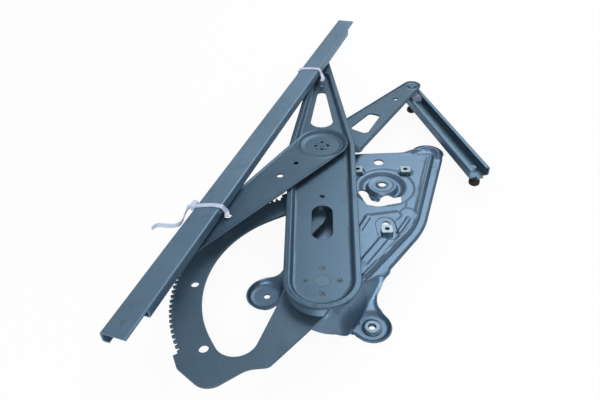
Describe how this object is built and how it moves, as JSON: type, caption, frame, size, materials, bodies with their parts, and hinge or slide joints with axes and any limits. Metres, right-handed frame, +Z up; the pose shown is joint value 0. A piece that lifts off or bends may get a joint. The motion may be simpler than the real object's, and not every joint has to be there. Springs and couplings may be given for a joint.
{
  "type": "window regulator",
  "caption": "Cross-arm vehicle window regulator: pressed base plate, main arm with toothed sector, balance arm, lift rail and guide channel, without motor.",
  "frame": {"origin": "axis of the motor's pilot bore in the base plate, 1 mm above the plate's web", "axes": "+Z up from the base plate, along the pilot bore; +Y along the main arm as shipped, towards the lift rail's front slider; +X to the side of the guide channel"},
  "size_m": [0.3855, 0.669, 0.0734],
  "materials": {
    "galvanised_steel": "satin blue-grey zinc-coated sheet",
    "plate_steel": "brighter blue-grey zinc-coated sheet",
    "zinc_steel": "bright zinc plate",
    "nylon": "natural nylon",
    "rubber": "matte"
  },
  "bodies": {
    "base": {"base_plate": "plate_steel", "pivot_bush": "zinc_steel", "pivot_washer": "nylon", "motor_nuts": "zinc_steel", "foot_clip": "zinc_steel"},
    "main_arm": {"main_arm": "galvanised_steel", "sector_gear": "galvanised_steel", "sector_rivets": "zinc_steel", "main_pivot": "zinc_steel", "pivot_ring": "zinc_steel", "front_slider_pin": "zinc_steel"},
    "balance_arm": {"balance_arm_upper": "galvanised_steel", "balance_arm_lower": "galvanised_steel", "crossing_hub": "zinc_steel", "crossing_rivets": "zinc_steel", "rear_slider_pin": "zinc_steel", "guide_slider_pin": "zinc_steel"},
    "front_slider": {"front_slider": "nylon"},
    "rear_slider": {"rear_slider": "nylon"},
    "guide_slider": {"guide_slider": "nylon"},
    "lift_rail": {"lift_rail": "galvanised_steel", "rail_stop": "zinc_steel"},
    "guide_channel": {"guide_channel": "galvanised_steel", "guide_studs": "zinc_steel", "stud_caps": "rubber"}
  },
  "joints": [
    {"name": "main_arm_pivot", "type": "hinge", "parent": "base", "child": "main_arm", "pos_m": [-0.0696, -0.1656, 0.01], "axis": [0, 0, 1], "range_deg": [-140, 0]},
    {"name": "balance_arm_pivot", "type": "hinge", "parent": "main_arm", "child": "balance_arm", "pos_m": [-0.0696, 0.0534, 0.018], "axis": [0, 0, 1], "range_deg": [0, 105]},
    {"name": "front_slider_swivel", "type": "hinge", "parent": "main_arm", "child": "front_slider", "pos_m": [-0.0696, 0.2724, 0.03], "axis": [0, 0, 1], "range_deg": [0, 52.5]},
    {"name": "rear_slider_swivel", "type": "hinge", "parent": "balance_arm", "child": "rear_slider", "pos_m": [-0.20094, -0.12185, 0.03], "axis": [0, 0, 1], "range_deg": [-52.5, 0]},
    {"name": "lift_rail_slide", "type": "slide", "parent": "front_slider", "child": "lift_rail", "axis": [0.3161, 0.9487, 0], "range_m": [-0.08, 0.065]},
    {"name": "guide_slider_swivel", "type": "hinge", "parent": "balance_arm", "child": "guide_slider", "pos_m": [0.06174, 0.22865, -0.009], "axis": [0, 0, 1], "range_deg": [0, 180]},
    {"name": "guide_channel_slide", "type": "slide", "parent": "guide_slider", "child": "guide_channel", "axis": [-0.2823, 0.9593, 0], "range_m": [0, 0.158]}
  ],
  "couplings": [
    {"joint": "front_slider_swivel", "follows": "balance_arm_pivot", "ratio": 0.5},
    {"joint": "rear_slider_swivel", "follows": "balance_arm_pivot", "ratio": -0.5}
  ]
}
